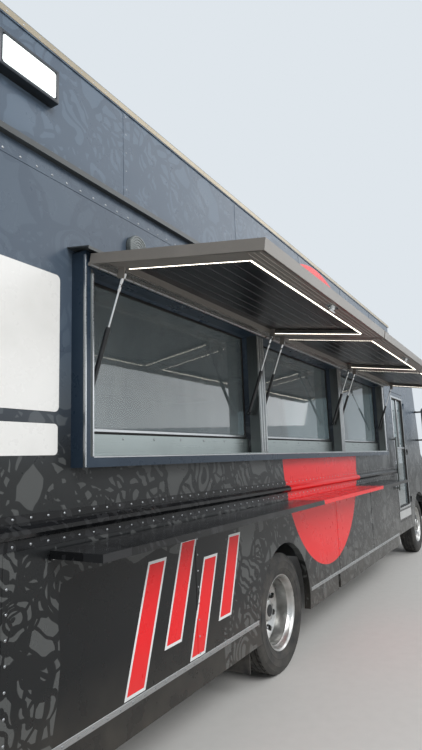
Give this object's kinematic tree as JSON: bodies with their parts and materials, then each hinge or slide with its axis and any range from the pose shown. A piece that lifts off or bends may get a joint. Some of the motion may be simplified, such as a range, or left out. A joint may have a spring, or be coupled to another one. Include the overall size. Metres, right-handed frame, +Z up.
{
  "type": "food truck",
  "caption": "Walk-in food truck with raised roof, a boxed frame of serving windows under hinged hatches on gas struts, folding customer shelf, dual rear wheels and steered front axle.",
  "frame": {"origin": "on the road, below the middle of the whole truck's bounding box with its hatches open", "axes": "+X forward along the truck, +Y to its left, +Z up"},
  "size_m": [9.2, 3.677, 3.655],
  "materials": {
    "dark_steel": "satin",
    "engine_iron": "rough",
    "bare_aluminium": "satin",
    "wrap_charcoal": "satin",
    "tinted_glass": "gloss",
    "black_paint": "gloss",
    "stainless": "brushed",
    "rail_aluminium": "satin",
    "tyre_rubber": "matte",
    "flap_rubber": "matte",
    "polished_wheel": "polished",
    "clear_lens": "gloss",
    "red_lens": "gloss",
    "dark_plastic": "matte",
    "exhaust_steel": "rough",
    "seat_cloth": "matte",
    "chrome_rod": "polished"
  },
  "bodies": {
    "truck": {"chassis_rails": "dark_steel", "cross_members": "dark_steel", "leaf_springs": "dark_steel", "front_axle": "dark_steel", "rear_axle": "dark_steel", "engine_block": "engine_iron", "fuel_tank": "bare_aluminium", "exhaust": "exhaust_steel", "floor_deck": "bare_aluminium", "wheel_housings": "bare_aluminium", "right_wall": "wrap_charcoal", "left_wall": "wrap_charcoal", "rear_wall": "wrap_charcoal", "roof_shell": "wrap_charcoal", "cab_shell": "wrap_charcoal", "windshield": "tinted_glass", "window_glass": "tinted_glass", "window_frame": "black_paint", "window_pillars": "stainless", "window_sills": "stainless", "rain_gutters": "black_paint", "rub_rails": "rail_aluminium", "mud_flaps": "flap_rubber", "bumpers": "dark_steel", "grille": "black_paint", "headlamps": "clear_lens", "tail_lamps": "red_lens", "wall_lamps": "black_paint", "mirrors": "black_paint", "cab_fittings": "dark_plastic", "driver_seat": "seat_cloth", "kitchen_counters": "stainless", "roof_fan": "bare_aluminium"},
    "hatch_1": {"hatch_1": "black_paint"},
    "strut_cylinders_1": {"strut_cylinders_1": "black_paint"},
    "strut_rods_1": {"strut_rods_1": "chrome_rod"},
    "hatch_2": {"hatch_2": "black_paint"},
    "strut_cylinders_2": {"strut_cylinders_2": "black_paint"},
    "strut_rods_2": {"strut_rods_2": "chrome_rod"},
    "hatch_3": {"hatch_3": "black_paint"},
    "strut_cylinders_3": {"strut_cylinders_3": "black_paint"},
    "strut_rods_3": {"strut_rods_3": "chrome_rod"},
    "customer_shelf": {"customer_shelf": "stainless"},
    "cab_door_right": {"cab_door_right": "wrap_charcoal", "cab_door_glass_right": "tinted_glass"},
    "cab_door_left": {"cab_door_left": "wrap_charcoal", "cab_door_glass_left": "tinted_glass"},
    "rear_door": {"rear_door": "wrap_charcoal", "rear_door_glass": "tinted_glass"},
    "front_hood": {"front_hood": "wrap_charcoal"},
    "knuckle_right": {"knuckle_right": "dark_steel"},
    "front_wheel_right": {"front_wheel_right": "polished_wheel", "front_tyre_right": "tyre_rubber"},
    "rear_wheels_right": {"rear_wheels_right": "polished_wheel", "rear_tyres_right": "tyre_rubber"},
    "knuckle_left": {"knuckle_left": "dark_steel"},
    "front_wheel_left": {"front_wheel_left": "polished_wheel", "front_tyre_left": "tyre_rubber"},
    "rear_wheels_left": {"rear_wheels_left": "polished_wheel", "rear_tyres_left": "tyre_rubber"}
  },
  "joints": [
    {"name": "hatch_1_hinge", "type": "hinge", "parent": "truck", "child": "hatch_1", "pos_m": [-2.81, -1.02153, 2.34], "axis": [1, 0, 0], "range_deg": [0, 81]},
    {"name": "strut_1_swing", "type": "hinge", "parent": "truck", "child": "strut_cylinders_1", "pos_m": [-2.81, -0.94753, 1.8], "axis": [1, 0, 0], "range_deg": [-16.06, 0.5]},
    {"name": "strut_1_stroke", "type": "slide", "parent": "strut_cylinders_1", "child": "strut_rods_1", "axis": [0, -0.3584, 0.9336], "range_m": [-0.1024, 0.001]},
    {"name": "hatch_2_hinge", "type": "hinge", "parent": "truck", "child": "hatch_2", "pos_m": [-1.05, -1.02153, 2.34], "axis": [1, 0, 0], "range_deg": [0, 81]},
    {"name": "strut_2_swing", "type": "hinge", "parent": "truck", "child": "strut_cylinders_2", "pos_m": [-1.05, -0.94753, 1.8], "axis": [1, 0, 0], "range_deg": [-16.06, 0.5]},
    {"name": "strut_2_stroke", "type": "slide", "parent": "strut_cylinders_2", "child": "strut_rods_2", "axis": [0, -0.3584, 0.9336], "range_m": [-0.1024, 0.001]},
    {"name": "hatch_3_hinge", "type": "hinge", "parent": "truck", "child": "hatch_3", "pos_m": [0.71, -1.02153, 2.34], "axis": [1, 0, 0], "range_deg": [0, 81]},
    {"name": "strut_3_swing", "type": "hinge", "parent": "truck", "child": "strut_cylinders_3", "pos_m": [0.71, -0.94753, 1.8], "axis": [1, 0, 0], "range_deg": [-16.06, 0.5]},
    {"name": "strut_3_stroke", "type": "slide", "parent": "strut_cylinders_3", "child": "strut_rods_3", "axis": [0, -0.3584, 0.9336], "range_m": [-0.1024, 0.001]},
    {"name": "shelf_fold", "type": "hinge", "parent": "truck", "child": "customer_shelf", "pos_m": [-1.11, -0.94653, 1.155], "axis": [1, 0, 0], "range_deg": [0, 90]},
    {"name": "cab_door_right_hinge", "type": "hinge", "parent": "truck", "child": "cab_door_right", "pos_m": [3.076, -0.94153, 1.5], "axis": [0, 0, 1], "range_deg": [0, 78]},
    {"name": "cab_door_left_hinge", "type": "hinge", "parent": "truck", "child": "cab_door_left", "pos_m": [3.076, 1.51847, 1.5], "axis": [0, 0, -1], "range_deg": [0, 78]},
    {"name": "rear_door_hinge", "type": "hinge", "parent": "truck", "child": "rear_door", "pos_m": [-4.46, 0.66847, 1.6], "axis": [0, 0, -1], "range_deg": [0, 110]},
    {"name": "front_hood_hinge", "type": "hinge", "parent": "truck", "child": "front_hood", "pos_m": [4.25, 0.28847, 1.49991], "axis": [0, -1, 0], "range_deg": [0, 60]},
    {"name": "steer_right", "type": "hinge", "parent": "truck", "child": "knuckle_right", "pos_m": [3.73, -0.61653, 0.405], "axis": [0, 0, 1], "range_deg": [-35, 35]},
    {"name": "steer_left", "type": "hinge", "parent": "truck", "child": "knuckle_left", "pos_m": [3.73, 1.19347, 0.405], "axis": [0, 0, 1], "range_deg": [-35, 35]},
    {"name": "front_roll_right", "type": "hinge", "parent": "knuckle_right", "child": "front_wheel_right", "pos_m": [3.73, -0.77053, 0.405], "axis": [0, 1, 0], "continuous": true},
    {"name": "front_roll_left", "type": "hinge", "parent": "knuckle_left", "child": "front_wheel_left", "pos_m": [3.73, 1.34747, 0.405], "axis": [0, 1, 0], "continuous": true},
    {"name": "rear_roll_right", "type": "hinge", "parent": "truck", "child": "rear_wheels_right", "pos_m": [-1.55, -0.77053, 0.405], "axis": [0, 1, 0], "continuous": true},
    {"name": "rear_roll_left", "type": "hinge", "parent": "truck", "child": "rear_wheels_left", "pos_m": [-1.55, 1.34747, 0.405], "axis": [0, 1, 0], "continuous": true}
  ],
  "couplings": [
    {"joint": "strut_1_swing", "follows": "hatch_1_hinge", "ratio": -0.19211},
    {"joint": "strut_1_stroke", "follows": "hatch_1_hinge", "m_per_rad": -0.07105},
    {"joint": "strut_2_swing", "follows": "hatch_2_hinge", "ratio": -0.19211},
    {"joint": "strut_2_stroke", "follows": "hatch_2_hinge", "m_per_rad": -0.07105},
    {"joint": "strut_3_swing", "follows": "hatch_3_hinge", "ratio": -0.19211},
    {"joint": "strut_3_stroke", "follows": "hatch_3_hinge", "m_per_rad": -0.07105},
    {"joint": "steer_left", "follows": "steer_right", "ratio": 1}
  ]
}
